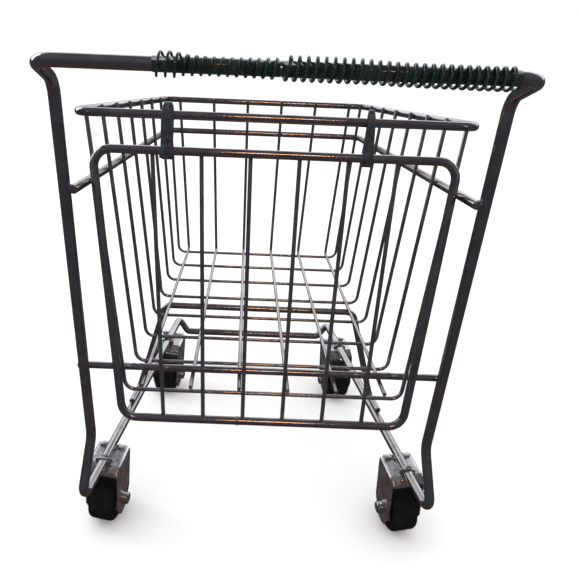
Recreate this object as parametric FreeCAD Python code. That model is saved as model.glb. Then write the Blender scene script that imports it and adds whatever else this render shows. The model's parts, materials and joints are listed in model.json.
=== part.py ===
import FreeCAD, Part
import math
import os

# ---------------------------------------------------------------------------
# Miniature wire shopping cart, millimetres.
# X is across the cart, +Y is the direction of travel (basket nose), Z is up.
# The tyres stand on Z = 0 and the handle is at the rear, on the -Y side.
# ---------------------------------------------------------------------------

# Rod and wire stock
frame_rod = 6.35
basket_rod = 4.8
crossbar_rod = 4.4
mesh_wire = 2.4
weld_bite = 0.05

# Moves the finished cart forward so that its box is centred on the origin
centre_shift_y = 2.3

# Main frame: one loop of rod through handle, posts, rails and nose bar
handle_half = 109.0
handle_y = -132.0
handle_z = 328.7
post_top_half = 111.3
post_half = 108.2
post_y = -99.0
post_top_z = 315.7
post_kink_z = 95.5
heel_half = 112.5
heel_y = -119.5
rail_z = 58.5
rail_front_half = 73.5
rail_front_y = 119.0
nose_half = 65.0
nose_y = 116.0
nose_z = 46.5
handle_bend = 9.0
post_top_bend = 12.0
post_kink_bend = 20.0
heel_bend = 6.5
nose_bend = 6.0

# Basket rim, a closed loop that falls towards the nose
rim_rear_half = 109.0
rim_front_half = 85.0
rim_rear_y = -75.0
rim_front_y = 131.0
rim_rear_z = 296.5
rim_front_z = 269.5
rim_bend = 8.0

# Basket floor, at the hoops' centre line
floor_rear_half = 82.0
floor_front_half = 73.0
floor_rear_z = 141.7
floor_front_z = 134.2
floor_front_y = 114.0
hoop_count = 8
hoop_bend = 6.5
first_hoop_top_y = -68.54
end_hoop_inset = 0.42
hoop_lap_ease = 1.02
last_hoop_top_y = 125.0
wire_end_over = 2.2

# Wires that run along the floor and up the nose panel
long_rear_x = (14.5, 43.5, 72.5)
long_floor_x = (12.8, 38.4, 64.0)
long_top_x = (14.5, 43.5, 72.5)
long_rear_y = -109.1
long_corner_y = 117.0
long_bend = 3.2

# Band rod round the basket at mid height, fixed to the posts
band_front_half = 83.3
band_front_y = 129.25
band_front_z = 243.5
band_rear_half = 105.0
band_rear_z = 261.3
band_end_over = 3.0
band_bend = 8.0

# Support under the floor, standing on the rails
support_half = 72.5
support_y = 4.5
support_foot_y = -2.0
support_end_y = -22.0
support_bend = 7.0

# Crossbar on the posts, just above the floor wires
crossbar_half = 114.0

# Gate, hung from the rim's rear bar
gate_lean = 14.8
gate_top_drop = 18.8
gate_bottom_drop = 173.5
gate_top_half = 99.5
gate_bottom_half = 82.7
gate_bend = 9.5
gate_wire_top_x = (13.5, 40.5, 67.5)
gate_wire_bottom_x = (11.8, 35.4, 59.0)
gate_wire_over = 1.6
clip_left_x = -58.8
clip_right_x = 50.0
clip_width = 7.4
clip_sheet = 1.1
clip_play = 0.35
clip_grip = 0.02
clip_tail = 5.5
clip_rise = 3.0

# Casters: a folded fork, a riveted axle, a hub and a tyre
rear_caster_y = -73.8
front_caster_y = 85.0
caster_splay = 3.7
fork_sheet = 1.0
fork_width = 24.0
fork_half_length = 12.8
fork_shoulder_y = -8.0
fork_lip_drop = 4.5
fork_lip_end = 6.8
fork_side_drop = 36.0
fork_foot_half = 5.5
fork_height = 50.5
fork_corner = 2.2
fork_fold_ease = 0.4
fork_knee_reach = 1.25
fork_knee_rise = 2.5
fork_toe_reach = 0.6
fork_toe_rise = 0.6
tab_outer = 9.5
tab_inner = 3.9
tab_height = 1.8
tab_length = 4.5
tab_round = 0.9
axle_drop = 37.39
axle_radius = 2.5
axle_play = 0.05
rivet_radius = 4.4
rivet_inner_height = 4.2
rivet_outer_height = 2.0
rivet_dome = 1.4
wheel_radius = 17.7
wheel_width = 18.6
tyre_shoulder = 3.2
tyre_bore = 10.5
hub_width = 20.8
hub_recess_radius = 8.5
hub_recess_depth = 2.0
hub_boss_radius = 4.6
cut_margin = 1.0

# Coiled grips, as sleeves that fill the coils' own envelope
grip_radius = 6.0
grip_play = 0.03
grip_left_span = (-58.0, -3.6)
grip_right_span = (-3.0, 99.0)


def vec(x, y, z):
    return FreeCAD.Vector(x, y, z)


def lerp(a, b, t):
    return a + (b - a) * t


def bent_path(points, bends):
    """Wire through the points, with each inner corner rounded to its own radius."""
    edges = []
    start = points[0]
    for i in range(1, len(points) - 1):
        before = (points[i - 1] - points[i]).normalize()
        after = (points[i + 1] - points[i]).normalize()
        angle = before.getAngle(after)
        back = bends[i - 1] / math.tan(angle / 2)
        p_in = points[i] + before * back
        p_out = points[i] + after * back
        middle = (before + after).normalize()
        reach = bends[i - 1] / math.sin(angle / 2)
        p_mid = points[i] + middle * (reach - bends[i - 1])
        edges.append(Part.LineSegment(start, p_in).toShape())
        edges.append(Part.Arc(p_in, p_mid, p_out).toShape())
        start = p_out
    edges.append(Part.LineSegment(start, points[-1]).toShape())
    return Part.Wire(edges)


def rod(points, bends, diameter):
    """Round rod swept along a bent path, with square-cut ends."""
    direction = (points[1] - points[0]).normalize()
    if len(points) == 2:
        length = (points[1] - points[0]).Length
        return Part.makeCylinder(diameter / 2, length, points[0], direction)
    path = bent_path(points, bends)
    ring = Part.Wire(Part.makeCircle(diameter / 2, points[0], direction))
    return path.makePipeShell([ring], True, False)


def mirrored(shape):
    return shape.mirror(vec(0, 0, 0), vec(1, 0, 0))


def loop_from_half(points, bends, diameter):
    """Closed loop of rod: the +X half runs from X = 0 to X = 0 and is mirrored."""
    half = rod(points, bends, diameter)
    return half.fuse(mirrored(half)).removeSplitter()


def export(name, shape):
    shape.translate(vec(0, centre_shift_y, 0))
    shape.exportStep("parts/" + name + ".step")


# --- main frame and the rods fixed to it -----------------------------------

def rail_half(y):
    """Distance of a rail's centre line from the middle of the cart at y."""
    t = (y - heel_y) / (rail_front_y - heel_y)
    return lerp(heel_half, rail_front_half, t)


def make_main_frame():
    points = [
        vec(0, handle_y, handle_z),
        vec(handle_half, handle_y, handle_z),
        vec(post_top_half, post_y, post_top_z),
        vec(post_half, post_y, post_kink_z),
        vec(heel_half, heel_y, rail_z),
        vec(rail_front_half, rail_front_y, rail_z),
        vec(nose_half, nose_y, nose_z),
        vec(0, nose_y, nose_z),
    ]
    bends = [handle_bend, post_top_bend, post_kink_bend, heel_bend, nose_bend, nose_bend]
    return loop_from_half(points, bends, frame_rod)


def make_crossbar():
    """Bar on the posts' front, resting on the floor's long wires."""
    y = post_y + frame_rod / 2 + crossbar_rod / 2 - weld_bite
    z = floor_z(y) + mesh_wire * 1.5 + crossbar_rod / 2 - weld_bite * 2
    ends = [vec(-crossbar_half, y, z), vec(crossbar_half, y, z)]
    return rod(ends, [], crossbar_rod)


def make_band():
    slope = (band_rear_half - band_front_half) / (band_front_y - post_y)
    end_y = post_y - band_end_over
    end_half = band_front_half + slope * (band_front_y - end_y)
    z_slope = (band_rear_z - band_front_z) / (band_front_y - post_y)
    end_z = band_front_z + z_slope * (band_front_y - end_y)
    points = [
        vec(0, band_front_y, band_front_z),
        vec(band_front_half, band_front_y, band_front_z),
        vec(end_half, end_y, end_z),
    ]
    half = rod(points, [band_bend], basket_rod)
    return half.fuse(mirrored(half)).removeSplitter()


def make_floor_support():
    """Bar level with the floor hoops, with a leg each side that lies along the rail."""
    foot_z = rail_z + frame_rod / 2 + basket_rod / 2 - weld_bite
    bar_z = floor_z(support_y) + mesh_wire / 2 - basket_rod / 2
    points = [
        vec(0, support_y, bar_z),
        vec(support_half, support_y, bar_z),
        vec(rail_half(support_foot_y), support_foot_y, foot_z),
        vec(rail_half(support_end_y), support_end_y, foot_z),
    ]
    half = rod(points, [support_bend, support_bend], basket_rod)
    return half.fuse(mirrored(half)).removeSplitter()


# --- basket ----------------------------------------------------------------

def rim_half(y):
    t = (y - rim_rear_y) / (rim_front_y - rim_rear_y)
    return lerp(rim_rear_half, rim_front_half, t)


def rim_z(y):
    t = (y - rim_rear_y) / (rim_front_y - rim_rear_y)
    return lerp(rim_rear_z, rim_front_z, t)


def floor_rear_y():
    drop = rim_rear_z - floor_rear_z
    return first_hoop_top_y - drop * math.tan(math.radians(gate_lean))


def floor_z(y):
    t = (y - floor_rear_y()) / (floor_front_y - floor_rear_y())
    return lerp(floor_rear_z, floor_front_z, t)


def make_rim():
    points = [
        vec(0, rim_rear_y, rim_rear_z),
        vec(rim_rear_half, rim_rear_y, rim_rear_z),
        vec(rim_front_half, rim_front_y, rim_front_z),
        vec(0, rim_front_y, rim_front_z),
    ]
    return loop_from_half(points, [rim_bend, rim_bend], basket_rod)


def make_hoop(index):
    """U-shaped wire: up one side of the basket, under the floor, up the other."""
    t = index / (hoop_count - 1)
    top_y = lerp(first_hoop_top_y, last_hoop_top_y, t)
    lap = (basket_rod / 2 + mesh_wire / 2 - weld_bite) * hoop_lap_ease
    inset = end_hoop_inset if index in (0, hoop_count - 1) else 0.0
    top = vec(rim_half(top_y) - lap - inset, top_y, rim_z(top_y))
    floor_y = lerp(floor_rear_y(), floor_front_y, t)
    corner = vec(lerp(floor_rear_half, floor_front_half, t), floor_y, floor_z(floor_y))
    tip = top + (top - corner).normalize() * wire_end_over
    points = [
        vec(-tip.x, tip.y, tip.z),
        vec(-corner.x, corner.y, corner.z),
        corner,
        tip,
    ]
    return rod(points, [hoop_bend, hoop_bend], mesh_wire)


def make_long_wire(side, row):
    """Wire that lies on the floor hoops, turns up at the nose and ends in the rim."""
    lift = mesh_wire - weld_bite
    lap = basket_rod / 2 + mesh_wire / 2 - weld_bite
    rear = vec(side * long_rear_x[row], long_rear_y, floor_z(long_rear_y) + lift)
    corner = vec(side * long_floor_x[row], long_corner_y, floor_z(long_corner_y) + lift)
    top = vec(side * long_top_x[row], rim_front_y - lap, rim_front_z)
    tip = top + (top - corner).normalize() * wire_end_over
    return rod([rear, corner, tip], [long_bend], mesh_wire)


# --- gate ------------------------------------------------------------------

def gate_point(x, drop, out):
    """Point on the gate: drop is down its plane from the hinge, out is towards the nose."""
    lean = math.radians(gate_lean)
    y = rim_rear_y - drop * math.sin(lean) + out * math.cos(lean)
    z = rim_rear_z - drop * math.cos(lean) - out * math.sin(lean)
    return vec(x, y, z)


def make_gate_frame():
    points = [
        gate_point(0, gate_top_drop, 0),
        gate_point(gate_top_half, gate_top_drop, 0),
        gate_point(gate_bottom_half, gate_bottom_drop, 0),
        gate_point(0, gate_bottom_drop, 0),
    ]
    return loop_from_half(points, [gate_bend, gate_bend], basket_rod)


def make_gate_wire(side, row):
    out = basket_rod / 2 + mesh_wire / 2 - weld_bite
    top = gate_point(side * gate_wire_top_x[row], gate_top_drop - gate_wire_over, out)
    bottom = gate_point(side * gate_wire_bottom_x[row], gate_bottom_drop + gate_wire_over, out)
    return rod([top, bottom], [], mesh_wire)


def stadium(upper_radius, lower_radius, length, width):
    """Flat link outline round two bars, one above the other, extruded across X."""
    shift = math.asin((upper_radius - lower_radius) / length)
    c, s = math.cos(shift), math.sin(shift)
    upper = [vec(0, -upper_radius * c, -upper_radius * s), vec(0, upper_radius * c, -upper_radius * s)]
    lower = [vec(0, lower_radius * c, -length - lower_radius * s),
             vec(0, -lower_radius * c, -length - lower_radius * s)]
    edges = [
        Part.Arc(upper[0], vec(0, 0, upper_radius), upper[1]).toShape(),
        Part.LineSegment(upper[1], lower[0]).toShape(),
        Part.Arc(lower[0], vec(0, 0, -length - lower_radius), lower[1]).toShape(),
        Part.LineSegment(lower[1], upper[0]).toShape(),
    ]
    face = Part.Face(Part.Wire(edges))
    face.translate(vec(-width / 2, 0, 0))
    return face.extrude(vec(width, 0, 0))


def make_clip(x):
    """Strap folded over the rim bar with a high crown, and pinched below the gate's top bar."""
    inner_top = basket_rod / 2 + clip_play
    inner_low = basket_rod / 2 + clip_grip
    length = gate_top_drop + clip_rise
    outer = stadium(inner_top + clip_sheet, inner_low + clip_sheet, length, clip_width)
    tail_top = gate_top_drop + inner_low + clip_sheet / 2
    tail_end = gate_top_drop + clip_tail
    tail = Part.makeBox(clip_width, clip_sheet * 2, tail_end - tail_top,
                        vec(-clip_width / 2, -clip_sheet, -tail_end))
    inner = stadium(inner_top, inner_low, length, clip_width + cut_margin * 2)
    outer.translate(vec(0, 0, clip_rise))
    inner.translate(vec(0, 0, clip_rise))
    link = outer.fuse(tail).cut(inner).removeSplitter()
    link.rotate(vec(0, 0, 0), vec(1, 0, 0), -gate_lean)
    link.translate(vec(x, rim_rear_y, rim_rear_z))
    return link


# --- casters ---------------------------------------------------------------
# Each caster is built at the origin: plate top at Z = 0, +X outboard, +Y forward.

def prism(outline, width):
    """Side outline in Y and Z, extruded evenly across X."""
    points = [vec(-width / 2, y, z) for y, z in outline]
    face = Part.Face(Part.makePolygon(points + [points[0]]))
    return face.extrude(vec(width, 0, 0))


def fork_outline():
    """Cheek seen from the side: square on top, narrowing to a rounded foot."""
    half = fork_half_length
    knee_y = fork_foot_half * fork_knee_reach
    knee_z = fork_foot_half - fork_height - fork_knee_rise
    toe_y = fork_foot_half * fork_toe_reach
    toe_z = fork_toe_rise - fork_height
    return [
        (half, 0),
        (half, -fork_side_drop),
        (knee_y, knee_z),
        (toe_y, toe_z),
        (-toe_y, toe_z),
        (-knee_y, knee_z),
        (-half, -fork_side_drop),
        (-half, -fork_lip_drop),
        (fork_shoulder_y, 0),
    ]


def long_edges(shape, x_side, z_floor):
    """Edges along the fork's folded shoulders, on one side."""
    found = []
    for edge in shape.Edges:
        ends = [v.Point for v in edge.Vertexes]
        on_side = all(abs(p.x - x_side) < 0.01 and p.z > z_floor for p in ends)
        if on_side and abs(ends[0].y - ends[1].y) > 1:
            found.append(edge)
    return found


def make_fork_shape():
    half_width = fork_width / 2
    block = prism(fork_outline(), fork_width)
    shoulders = []
    for x_side in (-half_width, half_width):
        shoulders += long_edges(block, x_side, -fork_lip_drop - fork_fold_ease)
    block = block.makeFillet(fork_corner, shoulders)
    far = fork_half_length + cut_margin
    deep = fork_height + cut_margin
    hollow_outline = [
        (far, -fork_sheet),
        (fork_shoulder_y + fork_fold_ease, -fork_sheet),
        (-fork_half_length + fork_sheet, -fork_lip_drop - fork_fold_ease),
        (-fork_half_length + fork_sheet, -fork_lip_end),
        (-far, -fork_lip_end),
        (-far, -deep),
        (far, -deep),
    ]
    gap = fork_width - 2 * fork_sheet
    hollow = prism(hollow_outline, gap)
    fork = block.cut(hollow)
    for side in (-1, 1):
        low = min(side * tab_inner, side * tab_outer)
        tab = Part.makeBox(tab_outer - tab_inner, tab_length, tab_height + fork_sheet,
                           vec(low, fork_half_length - tab_length, -fork_sheet))
        cheek_tab = tab.makeFillet(tab_round, [e for e in tab.Edges if is_tab_front(e)])
        fork = fork.fuse(cheek_tab)
    bore = Part.makeCylinder(axle_radius, fork_width + cut_margin * 2,
                             vec(-half_width - cut_margin, 0, -axle_drop), vec(1, 0, 0))
    return fork.cut(bore).removeSplitter()


def is_tab_front(edge):
    """The tab's raised front edge, which is rolled over."""
    ends = [v.Point for v in edge.Vertexes]
    along_x = abs(ends[0].x - ends[1].x) > 1
    return along_x and all(p.z > tab_height - 0.01 and p.y > fork_half_length - 0.01 for p in ends)


def make_axle_shape():
    """Rivet pin with a tall domed head inboard and a set head outboard."""
    outer = fork_width / 2
    pin = Part.makeCylinder(axle_radius, fork_width, vec(-outer, 0, -axle_drop), vec(1, 0, 0))
    tall = Part.makeCylinder(rivet_radius, rivet_inner_height, vec(-outer, 0, -axle_drop), vec(-1, 0, 0))
    flat = Part.makeCylinder(rivet_radius, rivet_outer_height, vec(outer, 0, -axle_drop), vec(1, 0, 0))
    tall = tall.makeFillet(rivet_dome, [end_rim(tall, -outer - rivet_inner_height)])
    flat = flat.makeFillet(rivet_dome, [end_rim(flat, outer + rivet_outer_height)])
    return pin.fuse(tall).fuse(flat).removeSplitter()


def end_rim(shape, x):
    for edge in shape.Edges:
        if abs(edge.CenterOfMass.x - x) < 0.01:
            return edge
    return None


def make_tyre_shape():
    half = wheel_width / 2
    tread = Part.makeCylinder(wheel_radius, wheel_width, vec(-half, 0, -axle_drop), vec(1, 0, 0))
    rims = [end_rim(tread, -half), end_rim(tread, half)]
    tread = tread.makeFillet(tyre_shoulder, rims)
    bore = Part.makeCylinder(tyre_bore, wheel_width + cut_margin * 2,
                             vec(-half - cut_margin, 0, -axle_drop), vec(1, 0, 0))
    return tread.cut(bore)


def make_hub_shape():
    half = hub_width / 2
    start = vec(-half, 0, -axle_drop)
    body = Part.makeCylinder(tyre_bore, wheel_width, vec(-wheel_width / 2, 0, -axle_drop), vec(1, 0, 0))
    for side in (-1, 1):
        face_x = side * wheel_width / 2
        recess = Part.makeCylinder(hub_recess_radius, hub_recess_depth,
                                   vec(face_x, 0, -axle_drop), vec(-side, 0, 0))
        body = body.cut(recess)
    boss = Part.makeCylinder(hub_boss_radius, hub_width, start, vec(1, 0, 0))
    bore = Part.makeCylinder(axle_radius + axle_play, hub_width + cut_margin * 2,
                             vec(-half - cut_margin, 0, -axle_drop), vec(1, 0, 0))
    return body.fuse(boss).cut(bore).removeSplitter()


def place_caster(shape, side, y):
    """Splay outboard, turn to the rail's own direction and hang under the rail."""
    placed = shape.copy()
    if side < 0:
        placed = mirrored(placed)
    placed.rotate(vec(0, 0, 0), vec(0, 1, 0), -side * caster_splay)
    slope = (heel_half - rail_front_half) / (rail_front_y - heel_y)
    toe = math.degrees(math.atan(slope))
    placed.rotate(vec(0, 0, 0), vec(0, 0, 1), side * toe)
    top = rail_z - frame_rod / 2 + weld_bite
    placed.translate(vec(side * rail_half(y), y, top))
    return placed


# --- grips -----------------------------------------------------------------

def make_grip(span):
    start = vec(span[0], handle_y, handle_z)
    length = span[1] - span[0]
    sleeve = Part.makeCylinder(grip_radius, length, start, vec(1, 0, 0))
    bore = Part.makeCylinder(frame_rod / 2 + grip_play, length, start, vec(1, 0, 0))
    return sleeve.cut(bore)


# --- build and export ------------------------------------------------------

def main():
    os.makedirs("parts", exist_ok=True)
    export("main_frame", make_main_frame())
    export("rear_crossbar", make_crossbar())
    export("side_band", make_band())
    export("floor_support", make_floor_support())
    export("basket_rim", make_rim())
    for index in range(hoop_count):
        export("hoop_" + str(index + 1), make_hoop(index))
    for side, word in ((-1, "left"), (1, "right")):
        for row in range(len(long_rear_x)):
            number = str(row + 1)
            export("long_wire_" + word + "_" + number, make_long_wire(side, row))
            export("gate_wire_" + word + "_" + number, make_gate_wire(side, row))
    export("gate_frame", make_gate_frame())
    export("gate_clip_left", make_clip(clip_left_x))
    export("gate_clip_right", make_clip(clip_right_x))
    export("grip_left", make_grip(grip_left_span))
    export("grip_right", make_grip(grip_right_span))
    caster_parts = (
        ("fork", make_fork_shape()),
        ("axle", make_axle_shape()),
        ("tyre", make_tyre_shape()),
        ("hub", make_hub_shape()),
    )
    for end, y in (("rear", rear_caster_y), ("front", front_caster_y)):
        for side, word in ((-1, "left"), (1, "right")):
            for piece, shape in caster_parts:
                export(piece + "_" + end + "_" + word, place_caster(shape, side, y))


main()
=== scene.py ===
# %% [markdown]
# # A miniature wire shopping cart
#
# The cart is bent from round rod and wire, spot welded where the wires cross, and chrome plated as one
# piece. Two coils of plastic wire are wound on the handle, two folded straps hold the gate, and four
# riveted casters carry it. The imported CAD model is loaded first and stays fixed. Everything made here
# takes its place and size from that frame.

import json
import math

import bmesh
import bpy
from mathutils import Matrix, Vector


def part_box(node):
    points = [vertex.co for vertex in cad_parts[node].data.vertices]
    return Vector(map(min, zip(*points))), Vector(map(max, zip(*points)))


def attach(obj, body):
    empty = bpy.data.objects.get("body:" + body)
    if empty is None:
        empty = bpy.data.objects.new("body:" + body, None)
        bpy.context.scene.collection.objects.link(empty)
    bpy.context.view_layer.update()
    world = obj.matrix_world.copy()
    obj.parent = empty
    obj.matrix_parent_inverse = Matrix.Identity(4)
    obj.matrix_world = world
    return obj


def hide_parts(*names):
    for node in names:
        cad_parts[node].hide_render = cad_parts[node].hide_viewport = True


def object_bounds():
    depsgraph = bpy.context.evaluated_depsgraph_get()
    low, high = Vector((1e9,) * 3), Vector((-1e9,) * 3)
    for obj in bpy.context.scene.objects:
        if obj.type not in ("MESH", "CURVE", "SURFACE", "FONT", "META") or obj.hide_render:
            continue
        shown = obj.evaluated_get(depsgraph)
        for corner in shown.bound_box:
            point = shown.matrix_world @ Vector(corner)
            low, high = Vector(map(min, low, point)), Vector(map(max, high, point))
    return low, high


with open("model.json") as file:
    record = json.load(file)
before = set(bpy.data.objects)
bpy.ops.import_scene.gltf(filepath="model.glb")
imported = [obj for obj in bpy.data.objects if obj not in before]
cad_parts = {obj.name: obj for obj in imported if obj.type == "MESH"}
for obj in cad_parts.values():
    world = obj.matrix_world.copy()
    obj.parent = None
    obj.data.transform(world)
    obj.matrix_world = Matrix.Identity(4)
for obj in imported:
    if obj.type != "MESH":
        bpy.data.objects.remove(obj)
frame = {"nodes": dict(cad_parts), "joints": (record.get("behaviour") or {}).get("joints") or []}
cad_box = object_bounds()
nodes = frame["nodes"]
scene = bpy.context.scene
MM = 0.001

# %% [markdown]
# ## Shader sums as Python
#
# A finish is mostly sums of patterns: cloudy plating times something, minus pits, plus scratches. Each
# term could be wired by hand, but a class that wraps a socket and overloads the operators lets the sum
# be read as a sum. The same class works in Geometry Nodes trees, whose Math node is the same one.


# %% Sockets that add up
class Term:
    """One output socket of a tree, usable in Python sums."""

    def __init__(self, net, socket):
        self.net = net
        self.socket = socket

    def _math(self, operation, first, second):
        return self.net.add("ShaderNodeMath", {"operation": operation}, {0: first, 1: second})

    def __add__(self, other):
        return self._math("ADD", self, other)

    def __radd__(self, other):
        return self._math("ADD", other, self)

    def __sub__(self, other):
        return self._math("SUBTRACT", self, other)

    def __rsub__(self, other):
        return self._math("SUBTRACT", other, self)

    def __mul__(self, other):
        return self._math("MULTIPLY", self, other)


class Net:
    """A node tree with one way to add a node: its type, its settings, then its sockets."""

    def __init__(self, tree):
        self.tree = tree

    def add(self, kind, settings=None, values=None, out=0):
        node = self.tree.nodes.new(kind)
        for name, value in (settings or {}).items():
            if name == "stops":
                self._set_stops(node.color_ramp, value)
            elif name == "curve":
                self._set_curve(node.mapping, value)
            else:
                setattr(node, name, value)
        for key, value in (values or {}).items():
            if isinstance(value, Term):
                self.tree.links.new(value.socket, node.inputs[key])
            else:
                node.inputs[key].default_value = value
        return Term(self, node.outputs[out])

    def _set_stops(self, ramp, stops):
        while len(ramp.elements) < len(stops):
            ramp.elements.new(1.0)
        for element, (position, level) in zip(ramp.elements, stops):
            element.position = position
            element.color = (level, level, level, 1.0)

    def _set_curve(self, mapping, points):
        line = mapping.curves[0]
        while len(line.points) < len(points):
            line.points.new(1.0, 1.0)
        for knot, place in zip(line.points, points):
            knot.location = place
        mapping.update()


# %% [markdown]
# ## Ways to make one material
#
# Every finish starts the same way: object coordinates turned into millimetres, so that a pattern's
# scale is a count per millimetre on the real part. A ramp turns a smooth noise into patches or specks.
# What is the same all over is set on the shader itself, and only what varies is linked to it.


# %% Material helpers
class Finish(Net):
    """A material under construction."""

    def __init__(self, name, **fixed):
        self.material = bpy.data.materials.new(name)
        self.material.use_nodes = True
        super().__init__(self.material.node_tree)
        self.shader = self.tree.nodes["Principled BSDF"]
        for socket, value in fixed.items():
            self.shader.inputs[socket.replace("_", " ")].default_value = value
        place = self.add("ShaderNodeTexCoord", out="Object")
        self.mm = self.add("ShaderNodeVectorMath", {"operation": "SCALE"}, {0: place, "Scale": 1 / MM})

    def noise(self, per_mm, detail=2.0, stretch=None):
        place = self.mm
        if stretch:
            place = self.add("ShaderNodeVectorMath", {"operation": "MULTIPLY"}, {0: place, 1: stretch})
        return self.add("ShaderNodeTexNoise", None, {"Vector": place, "Scale": per_mm, "Detail": detail})

    def ramp(self, fac, *stops):
        return self.add("ShaderNodeValToRGB", {"stops": stops}, {"Fac": fac})

    def blend(self, fac, first, second):
        node = self.tree.nodes.new("ShaderNodeMix")
        node.data_type = "RGBA"
        self.tree.links.new(fac.socket, node.inputs["Factor"])
        for socket, colour in ((node.inputs[6], first), (node.inputs[7], second)):
            if isinstance(colour, Term):
                self.tree.links.new(colour.socket, socket)
            else:
                socket.default_value = (*colour, 1.0)
        return Term(self, node.outputs[2])

    def feed(self, **varying):
        for socket, term in varying.items():
            self.tree.links.new(term.socket, self.shader.inputs[socket.replace("_", " ")])

    def bump(self, height, depth_mm):
        """Raises the surface by height times depth_mm."""
        relief = self.add("ShaderNodeBump", None, {"Height": height, "Distance": depth_mm * MM})
        self.tree.links.new(relief.socket, self.shader.inputs["Normal"])


# %% [markdown]
# ## Chrome on rod and wire
#
# The plating is a thin bright layer on drawn steel. It is a little cloudy, has a fine orange peel, and
# pits that show as dark specks. Near each weld it is duller and heat stained. The heat stain is read from an
# attribute called haze, which the rod's own tree stores from the distance to the nearest weld.


# %% Chrome
def plated(name, bright, shade, cloud_rough, pit_size, pit_amount):
    """Chrome plating: bright and shade are its two tones, pit_amount is how much it is speckled."""
    make = Finish(name, Metallic=1.0)
    cloud = make.ramp(make.noise(0.09, 4.0), (0.3, 0.0), (0.72, 1.0))
    pits = make.ramp(make.noise(pit_size, 3.0), (0.66, 0.0), (0.72, 1.0)) * pit_amount
    peel = make.noise(0.5, 2.0)
    haze = make.add("ShaderNodeAttribute", {"attribute_name": "haze"}, out="Fac")
    tone = make.blend(cloud, shade, bright)
    stained = make.blend(haze * 0.6, tone, (0.16, 0.115, 0.10))
    specked = make.blend(pits, stained, (0.05, 0.04, 0.045))
    make.feed(Base_Color=specked, Roughness=0.09 + cloud * cloud_rough + pits * 0.35 + haze * 0.28)
    make.bump(peel - pits * 0.5 + haze * make.noise(0.8, 3.0) * 1.5, 0.02)
    return make.material


rod_chrome = plated("rod_chrome", (0.52, 0.49, 0.50), (0.38, 0.34, 0.36), 0.05, 1.6, 0.4)
mesh_chrome = plated("mesh_chrome", (0.58, 0.56, 0.57), (0.40, 0.36, 0.38), 0.08, 1.3, 0.6)
weld_chrome = plated("weld_chrome", (0.62, 0.60, 0.60), (0.34, 0.31, 0.30), 0.20, 1.0, 0.6)
print("plated finishes:", rod_chrome.name, mesh_chrome.name, weld_chrome.name)

# %% [markdown]
# ## Measuring the bent rods
#
# A rod is known by the corners of its centre line, and those can be read from the frame. A plane that
# cuts a straight leg shows the rod's section, whose middle is on the centre line. Two such cuts give the
# leg's line, and two legs meet at the corner. This keeps the swept rods where the CAD rods are without
# repeating its numbers.


# %% Cuts and legs
X, Y, Z = 0, 1, 2


def triangles(node):
    mesh = nodes[node].data
    mesh.calc_loop_triangles()
    points = [v.co for v in mesh.vertices]
    return [[points[i] for i in t.vertices] for t in mesh.loop_triangles]


def section(node, axis, at, keep):
    """Box of the points where the plane cuts the node, among those that keep accepts."""
    found = []
    for corner in triangles(node):
        for a, b in ((0, 1), (1, 2), (2, 0)):
            start, end = corner[a], corner[b]
            if (start[axis] - at) * (end[axis] - at) < 0:
                t = (at - start[axis]) / (end[axis] - start[axis])
                point = start.lerp(end, t)
                if keep(point):
                    found.append(point)
    low = Vector([min(p[i] for p in found) for i in range(3)])
    high = Vector([max(p[i] for p in found) for i in range(3)])
    return low, high


def centre(node, axis, at, keep):
    low, high = section(node, axis, at, keep)
    return (low + high) / 2


def leg(node, axis, first, second, keep):
    """Point and direction of a straight leg, from two cuts across it."""
    start = centre(node, axis, first, keep)
    return start, (centre(node, axis, second, keep) - start).normalized()


def nearest(leg_a, leg_b):
    """The closest point of leg_a to leg_b, then of leg_b to leg_a."""
    (p, u), (q, v) = leg_a, leg_b
    w = p - q
    b = u.dot(v)
    spread = 1 - b * b
    s = (b * v.dot(w) - u.dot(w)) / spread
    t = (v.dot(w) - b * u.dot(w)) / spread
    return p + u * s, q + v * t


def meet(leg_a, leg_b):
    on_a, on_b = nearest(leg_a, leg_b)
    return (on_a + on_b) / 2


def tip(node, line, away_from):
    """Where a leg's end face is, on the side away from a point."""
    start, along = line
    if (start - away_from).dot(along) < 0:
        along = -along
    reach = max((v.co - start).dot(along) for v in nodes[node].data.vertices)
    return start + along * reach


def right(point):
    return point.x > 0


def anywhere(point):
    return True


def mirror(points):
    return [Vector((-p.x, p.y, p.z)) for p in reversed(points)]


# %% [markdown]
# ## The rods' centre lines
#
# The frame is one closed loop: handle, two cranked posts, two rails and a low nose bar. The rim and the
# gate's frame are loops too, and the band, floor support and crossbar are open. All are symmetric, so
# one half is measured and mirrored. Each pair of cuts is given in metres, at places where its leg is
# straight. The short legs at the nose are too short to cut twice, so each is the one line that passes
# through its middle cut and touches both neighbours.


# %% Heavy rods
HANDLE_BEND = 9.0 * MM
POST_TOP_BEND = 12.0 * MM
POST_CRANK_BEND = 20.0 * MM
HEEL_BEND = 6.5 * MM
NOSE_BEND = 6.0 * MM
RIM_BEND = 8.0 * MM
SUPPORT_BEND = 7.0 * MM
GATE_BEND = 9.5 * MM


class Rod:
    """A bent rod: corners of its centre line, the bend at each corner, and what it belongs to."""

    def __init__(self, node, points, bends, radius, body, closed=False):
        self.node = node
        self.points = points
        self.bends = bends
        self.radius = radius
        self.body = body
        self.closed = closed

    def legs(self):
        ends = self.points[1:] + (self.points[:1] if self.closed else [])
        return list(zip(self.points, ends))


def radius_of(node, axis, at, across, keep=anywhere):
    low, high = section(node, axis, at, keep)
    return (high[across] - low[across]) / 2


def through(middle, leg_a, leg_b):
    """Corners of the line that passes through middle and touches both legs."""
    (p, u), (q, v) = leg_a, leg_b
    plane = u.cross(middle - p)
    on_b = q + v * ((p - q).dot(plane) / v.dot(plane))
    on_a, _ = nearest(leg_a, (middle, (middle - on_b).normalized()))
    return on_a, on_b


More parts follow.
